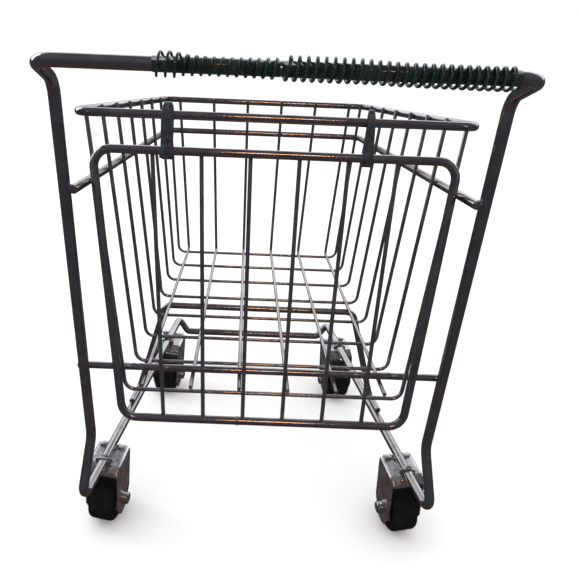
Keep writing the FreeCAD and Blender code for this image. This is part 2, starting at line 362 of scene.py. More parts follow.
def main_frame_rod():
    node = "main_frame"
    handle = leg(node, X, 0.03, 0.08, lambda p: p.z > 0.2)
    arm = leg(node, Y, -0.120, -0.108, lambda p: p.x > 0 and p.z > 0.3)
    post = leg(node, Z, 0.28, 0.14, lambda p: p.x > 0 and p.y < 0)
    crank = leg(node, Z, 0.087, 0.0725, lambda p: p.x > 0 and p.y < 0)
    rail = leg(node, Y, -0.06, 0.08, lambda p: p.x > 0 and p.z < 0.1)
    nose = leg(node, X, 0.05, 0.02, lambda p: p.z < 0.1)
    drop = centre(node, Z, 0.0512, lambda p: p.x > 0 and p.y > 0)
    rail_end, nose_end = through(drop, rail, nose)
    half = [meet(handle, arm), meet(arm, post), meet(post, crank), meet(crank, rail), rail_end, nose_end]
    bends = [HANDLE_BEND, POST_TOP_BEND, POST_CRANK_BEND, HEEL_BEND, NOSE_BEND, NOSE_BEND]
    radius = radius_of(node, X, 0.03, Z, lambda p: p.z > 0.2)
    return Rod(node, half + mirror(half), bends + bends[::-1], radius, "cart", True)


def tapered_loop(node, rear_y, front_y, bend, body):
    """A flat four-sided loop: a rear bar, a front bar and two sides."""
    lowest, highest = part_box(node)
    middle_y = (lowest.y + highest.y) / 2
    rear = leg(node, X, 0.01, 0.04, lambda p: p.y < middle_y)
    front = leg(node, X, 0.01, 0.04, lambda p: p.y > middle_y)
    side = leg(node, Y, rear_y, front_y, right)
    half = [meet(rear, side), meet(side, front)]
    radius = radius_of(node, X, 0.01, Z, lambda p: p.y < middle_y)
    return Rod(node, half + mirror(half), [bend] * 4, radius, body, True)


def band_rod():
    front = leg("side_band", X, 0.01, 0.05, anywhere)
    side = leg("side_band", Y, -0.06, 0.08, right)
    half = [tip("side_band", side, meet(side, front)), meet(side, front)]
    radius = radius_of("side_band", X, 0.01, Z)
    return Rod("side_band", half + mirror(half), [0.0, RIM_BEND, RIM_BEND, 0.0], radius, "cart")


def support_rod():
    node = "floor_support"
    top = leg(node, X, 0.01, 0.05, anywhere)
    strut = leg(node, Z, 0.085, 0.12, right)
    foot = leg(node, Y, -0.010, -0.017, right)
    knee = meet(strut, foot)
    half = [tip(node, foot, knee), knee, meet(top, strut)]
    bends = [0.0, SUPPORT_BEND, SUPPORT_BEND]
    radius = radius_of(node, X, 0.01, Z)
    return Rod(node, half + mirror(half), bends + bends[::-1], radius, "cart")


def straight_rod(node, axis, first, second, radius, body):
    line = leg(node, axis, first, second, anywhere)
    ends = [tip(node, line, line[0] + line[1]), tip(node, line, line[0] - line[1])]
    return Rod(node, ends, [0.0, 0.0], radius, body)


crossbar_radius = radius_of("rear_crossbar", X, 0.01, Z)
heavy_rods = [
    main_frame_rod(),
    tapered_loop("basket_rim", -0.05, 0.10, RIM_BEND, "cart"),
    band_rod(),
    support_rod(),
    straight_rod("rear_crossbar", X, -0.05, 0.05, crossbar_radius, "cart"),
    tapered_loop("gate_frame", -0.10, -0.085, GATE_BEND, "gate"),
]
for rod in heavy_rods:
    print(rod.node, "radius", round(rod.radius / MM, 3), "mm,", len(rod.points), "corners")

# %% [markdown]
# ## The basket's wires
#
# Eight U-shaped hoops run up one side of the basket, under its floor and up the other. Six wires lie
# on the hoops along the floor and turn up at the nose. Six straight wires fill the gate. They are all one
# stock, whose radius is measured on a hoop's flat bottom.

# %% Mesh wires
HOOPS = 8
ROWS = (1, 2, 3)
HOOP_BEND = 6.5 * MM
LONG_WIRE_BEND = 3.2 * MM
wire_radius = radius_of("hoop_1", X, 0.02, Y)


def hoop_rod(number):
    node = "hoop_" + str(number)
    floor = leg(node, X, -0.03, 0.03, anywhere)
    side = leg(node, Z, 0.19, 0.25, right)
    corner = meet(floor, side)
    half = [tip(node, side, corner), corner]
    return Rod(node, half + mirror(half), [0.0, HOOP_BEND, HOOP_BEND, 0.0], wire_radius, "cart")


def long_rod(node):
    floor = leg(node, Y, -0.05, 0.06, lambda p: p.z < 0.17)
    nose = leg(node, Z, 0.18, 0.25, anywhere)
    corner = meet(floor, nose)
    points = [tip(node, floor, corner), corner, tip(node, nose, corner)]
    return Rod(node, points, [0.0, LONG_WIRE_BEND, 0.0], wire_radius, "cart")


wires = [hoop_rod(number + 1) for number in range(HOOPS)]
for side in ("left", "right"):
    for row in ROWS:
        wires.append(long_rod(f"long_wire_{side}_{row}"))
        wires.append(straight_rod(f"gate_wire_{side}_{row}", Z, 0.17, 0.25, wire_radius, "gate"))
print("mesh wires:", len(wires), " radius", round(wire_radius / MM, 3), "mm")

# %% [markdown]
# ## Where the welds are
#
# Spot welds sit wherever two rods of one body touch. They could be listed by hand, about a hundred and
# twenty of them. Instead every pair of straight legs is tried: where two legs pass at the sum of their
# radii, within a fraction of a millimetre, they are welded. Each caster's plate is held by a larger weld
# run over the rail near the plate's rear edge, and a butt weld in its bottom bar closes the gate's loop.

# %% Find the welds
WELD_REACH = 0.5 * MM
PARALLEL = 0.96


def crossing(rod_a, rod_b):
    """Welds between two rods: the place, the way from one centre line to the other, and the size."""
    found = []
    for a_start, a_end in rod_a.legs():
        for b_start, b_end in rod_b.legs():
            u, v = (a_end - a_start).normalized(), (b_end - b_start).normalized()
            if abs(u.dot(v)) > PARALLEL:
                continue
            on_a, on_b = nearest((a_start, u), (b_start, v))
            inside_a = -rod_a.radius < (on_a - a_start).dot(u) < (a_end - a_start).length + rod_a.radius
            inside_b = -rod_b.radius < (on_b - b_start).dot(v) < (b_end - b_start).length + rod_b.radius
            gap = (on_b - on_a).length - rod_a.radius - rod_b.radius
            if inside_a and inside_b and abs(gap) < WELD_REACH:
                toward = (on_b - on_a).normalized()
                found.append((on_a + toward * rod_a.radius, toward, min(rod_a.radius, rod_b.radius)))
    return found


all_rods = heavy_rods + wires
welds = {"cart": [], "gate": []}
for index, rod_a in enumerate(all_rods):
    for rod_b in all_rods[index + 1:]:
        if rod_a.body == rod_b.body:
            welds[rod_a.body] += crossing(rod_a, rod_b)
print("spot welds:", {body: len(spots) for body, spots in welds.items()})

# %% Welds that are listed one by one
by_node = {rod.node: rod for rod in all_rods}
CASTER_WELD_BACK = 8.2 * MM
CASTER_WELD_SIZE = 2.6 * MM
# Each blob of the run, as millimetres across the rail, back along it and up from its underside
CASTER_WELD_RUN = ((-2.8, 0.0, 3.0), (-0.6, 1.6, 5.0), (0.8, -1.4, 4.8), (2.8, 0.4, 3.0), (2.4, 2.4, 2.6))
SEAM_X = -15.0 * MM

frame_loop = by_node["main_frame"]
rail_start, rail_end = frame_loop.points[3:5]
rail_way = (rail_end - rail_start).normalized()
rail_bottom = rail_start.z - frame_loop.radius
for joint in frame["joints"]:
    if joint["child"].startswith("wheel_"):
        axle_place = Vector(joint["pos_m"])
        edge_y = axle_place.y - CASTER_WELD_BACK
        over = rail_start + rail_way * ((edge_y - rail_start.y) / rail_way.y)
        over.x = math.copysign(over.x, axle_place.x)
        for across, back, lift in CASTER_WELD_RUN:
            place = Vector((over.x + across * MM, over.y - back * MM, rail_bottom + lift * MM))
            welds["cart"].append((place, Vector((0, 1, 0)), CASTER_WELD_SIZE))
gate_loop = by_node["gate_frame"]
seam_place = Vector((SEAM_X, gate_loop.points[0].y, gate_loop.points[0].z))
welds["gate"].append((seam_place, Vector((1, 0, 0)), gate_loop.radius))
print("all welds:", {body: len(spots) for body, spots in welds.items()})

# %% [markdown]
# ## Running a Geometry Nodes tree
#
# Each tree is built from a start mesh that holds only a path or points. The helpers below make the
# tree's sockets, set the modifier's inputs by their identifiers, and turn the result into a plain mesh,
# so that no modifier is left on the finished piece.


# %% Tree helpers
FLOAT, INT, MATERIAL = "NodeSocketFloat", "NodeSocketInt", "NodeSocketMaterial"


def start_tree(name, inputs):
    """An empty tree with a geometry input and output, and the named inputs."""
    tree = bpy.data.node_groups.new(name, "GeometryNodeTree")
    tree.interface.new_socket("Geometry", in_out="INPUT", socket_type="NodeSocketGeometry")
    for label, kind in inputs:
        tree.interface.new_socket(label, in_out="INPUT", socket_type=kind)
    tree.interface.new_socket("Geometry", in_out="OUTPUT", socket_type="NodeSocketGeometry")
    net = Net(tree)
    entry = tree.nodes.new("NodeGroupInput")
    return net, {socket.name: Term(net, socket) for socket in entry.outputs if socket.name}


def end_tree(net, geometry, material):
    """Closes a tree with smooth faces, real geometry and its material."""
    smooth = net.add("GeometryNodeSetShadeSmooth", None, {"Geometry": geometry})
    real = net.add("GeometryNodeRealizeInstances", None, {"Geometry": smooth})
    painted = net.add("GeometryNodeSetMaterial", None, {"Geometry": real, "Material": material})
    leave = net.tree.nodes.new("NodeGroupOutput")
    net.tree.links.new(painted.socket, leave.inputs[0])
    return net.tree


def path_mesh(points, closed=False, **columns):
    """A mesh of edges along the points, with a number or a vector per point for each column."""
    count = len(points)
    edges = [(i, i + 1) for i in range(count - 1)] + ([(count - 1, 0)] if closed else [])
    mesh = bpy.data.meshes.new("path")
    mesh.from_pydata(points, edges, [])
    for name, values in columns.items():
        if isinstance(values[0], Vector):
            column = mesh.attributes.new(name, "FLOAT_VECTOR", "POINT")
            for item, value in zip(column.data, values):
                item.vector = value
        else:
            column = mesh.attributes.new(name, "FLOAT", "POINT")
            for item, value in zip(column.data, values):
                item.value = value
    return mesh


def grow(name, mesh, tree, inputs, bevel=0.0):
    """Runs the tree on the mesh and returns the result as a plain mesh object."""
    start = bpy.data.objects.new(name + "_start", mesh)
    scene.collection.objects.link(start)
    modifier = start.modifiers.new("tree", "NODES")
    modifier.node_group = tree
    for item in tree.interface.items_tree:
        if item.in_out == "INPUT" and item.name in inputs:
            modifier[item.identifier] = inputs[item.name]
    if bevel:
        round_edges(start, bevel)
    bpy.context.view_layer.update()
    depsgraph = bpy.context.evaluated_depsgraph_get()
    result = bpy.data.meshes.new_from_object(start.evaluated_get(depsgraph))
    bpy.data.objects.remove(start)
    piece = bpy.data.objects.new(name, result)
    scene.collection.objects.link(piece)
    return piece


def round_edges(piece, width, segments=2, angle=50):
    bevel = piece.modifiers.new("round", "BEVEL")
    bevel.width = width
    bevel.segments = segments
    bevel.limit_method = "ANGLE"
    bevel.angle_limit = math.radians(angle)
    bevel.harden_normals = False
    return bevel


# %% [markdown]
# ## One tree for every rod
#
# A rod is a circle swept along its path, with each corner rounded to the bend of the forming tool. The
# path could be rounded in Python, but Fillet Curve does it from a bend stored on each corner. Real
# rod is never quite straight, so a slow seeded noise moves the path by a tenth of a millimetre. The
# distance to the nearest weld is stored as haze for the plating.


# %% The rod tree
HAZE_REACH = 5.0 * MM
WAVINESS = 0.25 * MM
END_ROUNDING = 0.22
SEED_STEP = 3.7


def rod_tree():
    net, given = start_tree("bent_rod", [
        ("Rod radius", FLOAT), ("Bend steps", INT), ("Sides", INT), ("Leg cuts", INT),
        ("Waviness", FLOAT), ("Seed", FLOAT), ("Welds", "NodeSocketObject"), ("Haze reach", FLOAT),
        ("Material", MATERIAL)])
    path = net.add("GeometryNodeMeshToCurve", None, {"Mesh": given["Geometry"]})
    bend = net.add("GeometryNodeInputNamedAttribute", {"data_type": "FLOAT"}, {"Name": "bend"})
    filleted = net.add("GeometryNodeFilletCurve", {"mode": "POLY"},
                       {"Curve": path, "Count": given["Bend steps"], "Radius": bend})
    divided = net.add("GeometryNodeSubdivideCurve", None, {"Curve": filleted, "Cuts": given["Leg cuts"]})
    place = net.add("GeometryNodeInputPosition")
    wander = net.add("ShaderNodeTexNoise", {"noise_dimensions": "4D"},
                     {"Vector": place, "W": given["Seed"], "Scale": 18.0, "Detail": 1.0}, out="Color")
    centred = net.add("ShaderNodeVectorMath", {"operation": "SUBTRACT"}, {0: wander, 1: (0.5, 0.5, 0.5)})
    offset = net.add("ShaderNodeVectorMath", {"operation": "SCALE"}, {0: centred, "Scale": given["Waviness"]})
    wavy = net.add("GeometryNodeSetPosition", None, {"Geometry": divided, "Offset": offset})
    ring = net.add("GeometryNodeCurvePrimitiveCircle", None,
                   {"Resolution": given["Sides"], "Radius": given["Rod radius"]})
    tube = net.add("GeometryNodeCurveToMesh", None,
                   {"Curve": wavy, "Profile Curve": ring, "Fill Caps": True})
    spots = net.add("GeometryNodeObjectInfo", None, {"Object": given["Welds"]}, out="Geometry")
    away = net.add("GeometryNodeProximity", {"target_element": "POINTS"}, {0: spots}, out="Distance")
    haze = net.add("ShaderNodeMapRange", {"interpolation_type": "SMOOTHSTEP"},
                   {"Value": away, "From Min": given["Rod radius"] * 0.8, "From Max": given["Haze reach"],
                    "To Min": 1.0, "To Max": 0.0})
    marked = net.add("GeometryNodeStoreNamedAttribute", {"data_type": "FLOAT", "domain": "POINT"},
                     {"Geometry": tube, "Name": "haze", "Value": haze})
    return end_tree(net, marked, given["Material"])


weld_points = {}
for body, spots in welds.items():
    weld_points[body] = bpy.data.objects.new("weld_points_" + body, path_mesh([s[0] for s in spots]))
    scene.collection.objects.link(weld_points[body])

bent_rod = rod_tree()
for seed, rod in enumerate(all_rods):
    heavy = rod in heavy_rods
    piece = grow("rod_" + rod.node, path_mesh(rod.points, rod.closed, bend=rod.bends), bent_rod, {
        "Rod radius": rod.radius,
        "Bend steps": 12 if heavy else 8,
        "Sides": 36 if heavy else 20,
        "Leg cuts": 3,
        "Waviness": WAVINESS,
        "Seed": seed * SEED_STEP,
        "Welds": weld_points[rod.body],
        "Haze reach": HAZE_REACH,
        "Material": rod_chrome if heavy else mesh_chrome,
    }, bevel=0.0 if rod.closed else rod.radius * END_ROUNDING)
    low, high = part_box(rod.node)
    grown = [v.co for v in piece.data.vertices]
    off = max(max(abs(min(p[i] for p in grown) - low[i]), abs(max(p[i] for p in grown) - high[i]))
              for i in range(3))
    print(piece.name, "faces", len(piece.data.polygons), " box within", round(off / MM, 2), "mm of the CAD")
    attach(piece, rod.body)
    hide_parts(rod.node)

# %% [markdown]
# ## Weld beads
#
# Where two wires are welded, a little metal squeezes out round the contact. A torus or a boolean fillet
# would be exact, but a real bead is a small uneven lens between the wires. One low ball is instanced
# on every weld, pressed flat along the line between the two rods, given a seeded size, and roughened.


# %% The bead tree
def bead_tree():
    net, given = start_tree("weld_beads", [
        ("Spread", FLOAT), ("Height", FLOAT), ("Roughness", FLOAT), ("Seed", INT), ("Material", MATERIAL)])
    toward = net.add("GeometryNodeInputNamedAttribute", {"data_type": "FLOAT_VECTOR"}, {"Name": "toward"})
    size = net.add("GeometryNodeInputNamedAttribute", {"data_type": "FLOAT"}, {"Name": "size"})
    turned = net.add("FunctionNodeAlignRotationToVector", {"axis": "Z"}, {"Vector": toward})
    ball = net.add("GeometryNodeMeshUVSphere", None, {"Segments": 14, "Rings": 8, "Radius": 1.0})
    vary = net.add("FunctionNodeRandomValue", {"data_type": "FLOAT"},
                   {2: 0.8, 3: 1.15, "Seed": given["Seed"]}, out=1)
    wide = size * given["Spread"] * vary
    scale = net.add("ShaderNodeCombineXYZ", None, {"X": wide, "Y": wide, "Z": size * given["Height"] * vary})
    beads = net.add("GeometryNodeInstanceOnPoints", None,
                    {"Points": given["Geometry"], "Instance": ball, "Rotation": turned, "Scale": scale})
    real = net.add("GeometryNodeRealizeInstances", None, {"Geometry": beads})
    place = net.add("GeometryNodeInputPosition")
    normal = net.add("GeometryNodeInputNormal")
    rough = net.add("ShaderNodeTexNoise", None, {"Vector": place, "Scale": 900.0, "Detail": 2.0})
    push = net.add("ShaderNodeVectorMath", {"operation": "SCALE"},
                   {0: normal, "Scale": (rough - 0.5) * given["Roughness"]})
    lumpy = net.add("GeometryNodeSetPosition", None, {"Geometry": real, "Offset": push})
    return end_tree(net, lumpy, given["Material"])


weld_beads = bead_tree()
for body, spots in welds.items():
    places, ways, sizes = zip(*spots)
    cloud = path_mesh(list(places), toward=list(ways), size=list(sizes))
    piece = grow(body + "_welds", cloud, weld_beads, {
        "Spread": 1.12, "Height": 0.62, "Roughness": 0.5 * MM, "Seed": 7, "Material": weld_chrome})
    bpy.data.objects.remove(weld_points[body])
    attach(piece, body)
    print(piece.name, "faces", len(piece.data.polygons))

# %% [markdown]
# ## Painted, moulded and folded finishes
#
# The straps are dull grey-blue plated sheet, softer than the rod. The fork is bright pressed sheet with
# rub marks along it. The rivet is the same plating hammered into a dome. The wheel is black rubber on a
# grey moulded hub, and the handle's wire has a glossy dark green plastic skin.


# %% Other finishes
def strap_finish():
    make = Finish("clip_strap", Metallic=0.85)
    cloud = make.ramp(make.noise(0.35, 3.0), (0.3, 0.0), (0.7, 1.0))
    rub = make.ramp(make.noise(1.4, 4.0, (1.0, 0.25, 0.25)), (0.55, 0.0), (0.75, 1.0))
    tone = make.blend(cloud, (0.065, 0.075, 0.10), (0.12, 0.135, 0.17))
    make.feed(Base_Color=make.blend(rub, tone, (0.26, 0.28, 0.33)),
              Roughness=0.26 + cloud * 0.14 - rub * 0.06)
    make.bump(make.noise(0.9, 2.0) + rub * 0.4, 0.05)
    return make.material


def fork_finish():
    make = Finish("fork_plate", Metallic=1.0)
    cloud = make.ramp(make.noise(0.12, 4.0), (0.32, 0.0), (0.7, 1.0))
    drag = make.noise(2.2, 3.0, (0.12, 0.12, 1.4))
    dents = make.ramp(make.noise(0.55, 1.0), (0.60, 0.0), (0.70, 1.0))
    specks = make.ramp(make.noise(1.9, 3.0), (0.62, 0.0), (0.70, 1.0))
    tone = make.blend(cloud, (0.55, 0.52, 0.52), (0.90, 0.88, 0.88))
    make.feed(Base_Color=make.blend(specks * 0.6, tone, (0.07, 0.05, 0.05)),
              Roughness=0.12 + cloud * 0.10 + drag * 0.14 + specks * 0.3)
    make.bump(drag * 0.25 - dents * 1.2 - specks * 0.8, 0.05)
    return make.material


def rivet_finish():
    make = Finish("rivet_steel", Metallic=1.0)
    hammered = make.noise(0.75, 2.0)
    grime = make.ramp(make.noise(1.2, 3.0), (0.5, 0.0), (0.7, 1.0))
    make.feed(Base_Color=make.blend(grime, (0.58, 0.55, 0.53), (0.14, 0.10, 0.09)),
              Roughness=0.16 + grime * 0.3)
    make.bump(hammered, 0.25)
    return make.material


def rubber_finish():
    make = Finish("tyre_rubber", Specular_IOR_Level=0.2)
    bloom = make.ramp(make.noise(0.16, 4.0), (0.4, 0.0), (0.75, 1.0))
    dust = make.ramp(make.noise(1.5, 4.0), (0.58, 0.0), (0.72, 1.0))
    black = make.blend(bloom, (0.003, 0.003, 0.0035), (0.007, 0.0065, 0.0065))
    make.feed(Base_Color=make.blend(dust * 0.15, black, (0.06, 0.055, 0.05)), Roughness=0.62 + bloom * 0.2)
    make.bump(make.noise(3.0, 3.0) + dust, 0.05)
    return make.material


def hub_finish():
    make = Finish("hub_plastic", Specular_IOR_Level=0.45)
    flow = make.ramp(make.noise(0.2, 3.0), (0.35, 0.0), (0.7, 1.0))
    make.feed(Base_Color=make.blend(flow, (0.045, 0.045, 0.048), (0.085, 0.083, 0.08)),
              Roughness=0.42 + flow * 0.15)
    make.bump(make.noise(2.4, 2.0), 0.03)
    return make.material


def grip_finish():
    make = Finish("grip_vinyl", Specular_IOR_Level=0.6, Coat_Roughness=0.1, IOR=1.5)
    flow = make.ramp(make.noise(0.10, 2.0), (0.35, 0.0), (0.7, 1.0))
    worn = make.ramp(make.noise(0.8, 3.0), (0.58, 0.0), (0.74, 1.0))
    tone = make.blend(flow, (0.004, 0.008, 0.007), (0.009, 0.020, 0.015))
    make.feed(Base_Color=make.blend(worn * 0.4, tone, (0.05, 0.035, 0.035)),
              Roughness=0.20 + worn * 0.25, Coat_Weight=0.7 - worn * 0.5)
    make.bump(make.noise(1.2, 2.0), 0.06)
    return make.material


clip_strap, fork_plate, rivet_steel = strap_finish(), fork_finish(), rivet_finish()
tyre_rubber, hub_plastic, grip_vinyl = rubber_finish(), hub_finish(), grip_finish()

# %% [markdown]
# ## Pieces made from faces
#
# Folded sheet, rubber and hubs are not swept, so they are built from faces. Modifiers may round their
# edges, and a finished piece keeps only the mesh that the modifiers made.


# %% Face helpers
def settle(name, mesh, material, modify=None):
    """Makes the mesh an object, applies its modifiers and gives it its finish."""
    piece = bpy.data.objects.new(name, mesh)
    scene.collection.objects.link(piece)
    if modify:
        modify(piece)
        bpy.context.view_layer.update()
        final = bpy.data.meshes.new_from_object(piece.evaluated_get(bpy.context.evaluated_depsgraph_get()))
        piece.modifiers.clear()
        piece.data = final
    piece.data.materials.clear()
    piece.data.materials.append(material)
    for face in piece.data.polygons:
        face.use_smooth = True
    return piece


MERGE = 0.001 * MM


def outward(mesh):
    """Turns every face of a closed mesh outwards, after merging doubles."""
    shell = bmesh.new()
    shell.from_mesh(mesh)
    bmesh.ops.remove_doubles(shell, verts=shell.verts, dist=MERGE)
    bmesh.ops.recalc_face_normals(shell, faces=shell.faces)
    shell.to_mesh(mesh)
    shell.free()
    return mesh


def place_piece(piece, body, slot, *replaced):
    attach(piece, body)
    if replaced:
        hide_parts(*replaced)
    print(piece.name, "faces", len(piece.data.polygons))


# %% [markdown]
# ## The straps that hang the gate
#
# Each strap is a narrow sheet folded over the rim's rear bar, down both sides of the gate's top bar,
# and pinched together just below it. Its crown stands clear of the rim bar and is narrower than the rest.
# It is laid out as a ribbon that follows the fold, a few columns wide, then thickened and its edges
# rounded. A bent strip is never even, so it sways across, and the right strap is the slimmer one.

# %% Straps
rim_bar, gate_bar = by_node["basket_rim"], by_node["gate_frame"]
STRAP_SHEET = 1.1 * MM
STRAP_RISE = 3.0 * MM
STRAP_PLAY = 0.35 * MM
STRAP_GRIP = 0.02 * MM
STRAP_SWAY = 0.6 * MM
STRAP_BOW = 0.25 * MM
STRAP_ROUNDING = 0.36 * MM
STRAP_COLUMNS = 6
CROWN_NARROWING = 0.75
# Where the two tails are pinched: half the gap between their middles, and how far below the gate's bar
STRAP_PINCH = ((0.80 * MM, 3.9 * MM), (1.05 * MM, 3.5 * MM))
LONGER_TAIL = 0.7 * MM
rim_corner, gate_corner = rim_bar.points[0], gate_bar.points[1]
fall = Vector((0, gate_corner.y - rim_corner.y, gate_corner.z - rim_corner.z))
STRAP_DROP = fall.length
down = fall.normalized()
forward = Vector((0, -down.z, down.y))


def strap_fold():
    """The fold's side view, as (forward, down) pairs from the rim bar's centre."""
    over_rim = rim_bar.radius + STRAP_PLAY + STRAP_SHEET / 2
    past_gate = gate_bar.radius + STRAP_GRIP + STRAP_SHEET / 2
    rear = [(-half_gap, STRAP_DROP + fall) for half_gap, fall in STRAP_PINCH]
    for step in range(6):
        turn = math.radians(60 - 12 * step)
        rear.append((-past_gate * math.cos(turn), STRAP_DROP + past_gate * math.sin(turn)))
    legs = [(-past_gate - 0.1 * MM, STRAP_DROP * 0.66), (-over_rim, STRAP_DROP * 0.3), (-over_rim, 0.0)]
    crown = []
    for step in range(13):
        turn = math.radians(15 * step)
        crown.append((-over_rim * math.cos(turn), -STRAP_RISE - over_rim * math.sin(turn)))
    front = [(-u, v) for u, v in reversed(rear + legs)]
    front[-1] = (front[-1][0], front[-1][1] + LONGER_TAIL)
    return rear + legs + crown + front


def strap(name, side, share):
    low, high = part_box("gate_clip_" + side)
    middle_x = (low.x + high.x) / 2
    half = (high.x - low.x) / 2 * share
    rows, faces = [], []
    fold = strap_fold()
    for index, (u, v) in enumerate(fold):
        travel = index / (len(fold) - 1)
        sway = STRAP_SWAY * math.sin(travel * 9.0 + middle_x * 30)
        height = max(0.0, -v) / (STRAP_RISE + rim_bar.radius + STRAP_SHEET)
        wander = 0.97 + 0.03 * math.cos(travel * 14.0)
        width = half * wander * math.sqrt(1 - CROWN_NARROWING * height * height)
        for column in range(STRAP_COLUMNS + 1):
            across = 2 * column / STRAP_COLUMNS - 1
            bow = STRAP_BOW * math.sin(travel * 11.0) * across
            spot = rim_corner + forward * (u + bow) + down * v
            rows.append((middle_x + sway + across * width, spot.y, spot.z))
    stride = STRAP_COLUMNS + 1
    for row in range(len(fold) - 1):
        for column in range(STRAP_COLUMNS):
            first = row * stride + column
            faces.append((first, first + 1, first + 1 + stride, first + stride))
    mesh = bpy.data.meshes.new(name)
    mesh.from_pydata(rows, [], faces)

    def thicken(piece):
        sheet = piece.modifiers.new("sheet", "SOLIDIFY")
        sheet.thickness = STRAP_SHEET
        sheet.offset = 0.0
        round_edges(piece, STRAP_ROUNDING, 3, 50)

    return settle(name, mesh, clip_strap, thicken)


for side, share in (("left", 0.97), ("right", 0.66)):
    place_piece(strap("strap_" + side, side, share), "gate", "clip_strap", "gate_clip_" + side)

# %% [markdown]
# ## Coils on the handle
#
# A grip is plastic-covered wire wound round the bar. A helix has a simple rule, so a tree bends a line
# of points round the bar: the angle grows with the distance, a curve gives the coil's radius and
# another how far it stands up or hangs down, and noise makes neighbouring turns differ. The wire clears
# the bar everywhere, and its two cut ends are closed. The left coil's first turns are loose.


# %% The coil tree
def coil_tree(name, radius_curve, lift_curve):
    net, given = start_tree(name, [
        ("Length", FLOAT), ("Turns", FLOAT), ("Coil radius", FLOAT), ("Wire radius", FLOAT),
        ("Lift", FLOAT), ("Unevenness", FLOAT), ("Points", INT), ("Seed", FLOAT), ("Material", MATERIAL)])
    line = net.add("GeometryNodeCurvePrimitiveLine")
    points = net.add("GeometryNodeResampleCurve", {"mode": "COUNT"},
                     {"Curve": line, "Count": given["Points"]})
    travel = net.add("GeometryNodeSplineParameter", out="Factor")
    turns = travel * given["Turns"]
    uneven = net.add("ShaderNodeTexNoise", {"noise_dimensions": "2D"},
                     {"Vector": net.add("ShaderNodeCombineXYZ", None, {"X": turns, "Y": given["Seed"]}),
                      "Scale": 0.8, "Detail": 1.0})
    drift = (uneven - 0.5) * given["Unevenness"]
    narrowing = net.add("ShaderNodeFloatCurve", {"curve": radius_curve}, {"Value": travel})
    radius = narrowing * given["Coil radius"]
    standing = net.add("ShaderNodeFloatCurve", {"curve": lift_curve}, {"Value": travel})
    lift = (standing - 0.5) * given["Lift"]
    angle = turns * -math.tau
    around = radius + drift
    sine = net.add("ShaderNodeMath", {"operation": "SINE"}, {0: angle})
    cosine = net.add("ShaderNodeMath", {"operation": "COSINE"}, {0: angle})
    spot = net.add("ShaderNodeCombineXYZ", None, {
        "X": travel * given["Length"] + drift, "Y": cosine * around, "Z": sine * around + lift})
    helix = net.add("GeometryNodeSetPosition", None, {"Geometry": points, "Position": spot})
    ring = net.add("GeometryNodeCurvePrimitiveCircle", None,
                   {"Resolution": 12, "Radius": given["Wire radius"]})
    tube = net.add("GeometryNodeCurveToMesh", None,
                   {"Curve": helix, "Profile Curve": ring, "Fill Caps": True})
    return end_tree(net, tube, given["Material"])


COIL_PITCH = 3.8 * MM
COIL_RADIUS = 4.95 * MM
COIL_UNEVENNESS = 0.24 * MM
POINTS_PER_TURN = 28
bar_y, bar_z = by_node["main_frame"].points[0].yz
left_coil = coil_tree("left_coil", ((0, 1.0), (0.17, 0.98), (0.24, 0.81), (1, 0.81)),
                      ((0, 0.56), (0.2, 0.56), (0.3, 0.46), (1, 0.46)))
right_coil = coil_tree("right_coil", ((0, 0.95), (0.3, 0.95), (0.45, 0.9), (0.8, 0.92), (1, 0.92)),
                       ((0, 0.8), (0.3, 0.8), (0.45, 0.4), (0.6, 0.14), (0.96, 0.14), (1, 0.4)))
# Side, tree, radius of the wire, how far the coil stands up or hangs down, and seed
COILS = (("left", left_coil, 0.62 * MM, 1.0 * MM, 2.0), ("right", right_coil, 0.80 * MM, 1.1 * MM, 11.0))
for side, tree, wire, lift, seed in COILS:
    low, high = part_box("grip_" + side)
    length = high.x - low.x - 2 * wire
    turns = length / COIL_PITCH
    coil = grow("coil_" + side, path_mesh([Vector(), Vector((length, 0, 0))]), tree, {
        "Length": length, "Turns": turns, "Coil radius": COIL_RADIUS, "Wire radius": wire,
        "Lift": lift, "Unevenness": COIL_UNEVENNESS, "Points": int(turns * POINTS_PER_TURN), "Seed": seed,
        "Material": grip_vinyl})
    coil.data.transform(Matrix.Translation((low.x + wire, bar_y, bar_z)))
    place_piece(coil, "cart", "grip_vinyl", "grip_" + side)

# %% [markdown]
# ## Casters
#
# A caster's fork is one pressed sheet, so the CAD mesh has the right shape but knife-sharp edges. A
# copy is merged, its flat faces are joined and every edge is rounded by a fraction of the sheet's
# thickness. The tyre is turned from a profile with a mould line round the middle of its tread.


# %% Forks
FORK_ROUNDING = 0.22 * MM
FORK_MERGE = 0.002 * MM


def softened_copy(node, name, material, width):
    mesh = nodes[node].data.copy()
    shell = bmesh.new()
    shell.from_mesh(mesh)
    bmesh.ops.remove_doubles(shell, verts=shell.verts, dist=FORK_MERGE)
    bmesh.ops.dissolve_limit(shell, angle_limit=math.radians(1), verts=shell.verts, edges=shell.edges)
    shell.to_mesh(mesh)
    shell.free()
    return settle(name, mesh, material, lambda piece: round_edges(piece, width, 2, 30))


CASTERS = [f"{end}_{side}" for end in ("rear", "front") for side in ("left", "right")]
for caster in CASTERS:
    place_piece(softened_copy("fork_" + caster, "plate_" + caster, fork_plate, FORK_ROUNDING),
                "cart", "fork_plate", "fork_" + caster)

# %% Tyres
TYRE_STEPS = 96
SHOULDER = 3.2 * MM
SEAM_HEIGHT = 0.05 * MM
SEAM_HALF = 0.35 * MM
WALL_GROOVE = 0.3 * MM


def wheel_size(node, hub, axle):
    """Half width, outer radius and bore radius of a round node about its axle."""
    half, outer, bore = 0.0, 0.0, math.inf
    for vertex in nodes[node].data.vertices:
        arm = vertex.co - hub
        across = arm.dot(axle)
        reach = (arm - axle * across).length
        half, outer, bore = max(half, abs(across)), max(outer, reach), min(bore, reach)
    return half, outer, bore


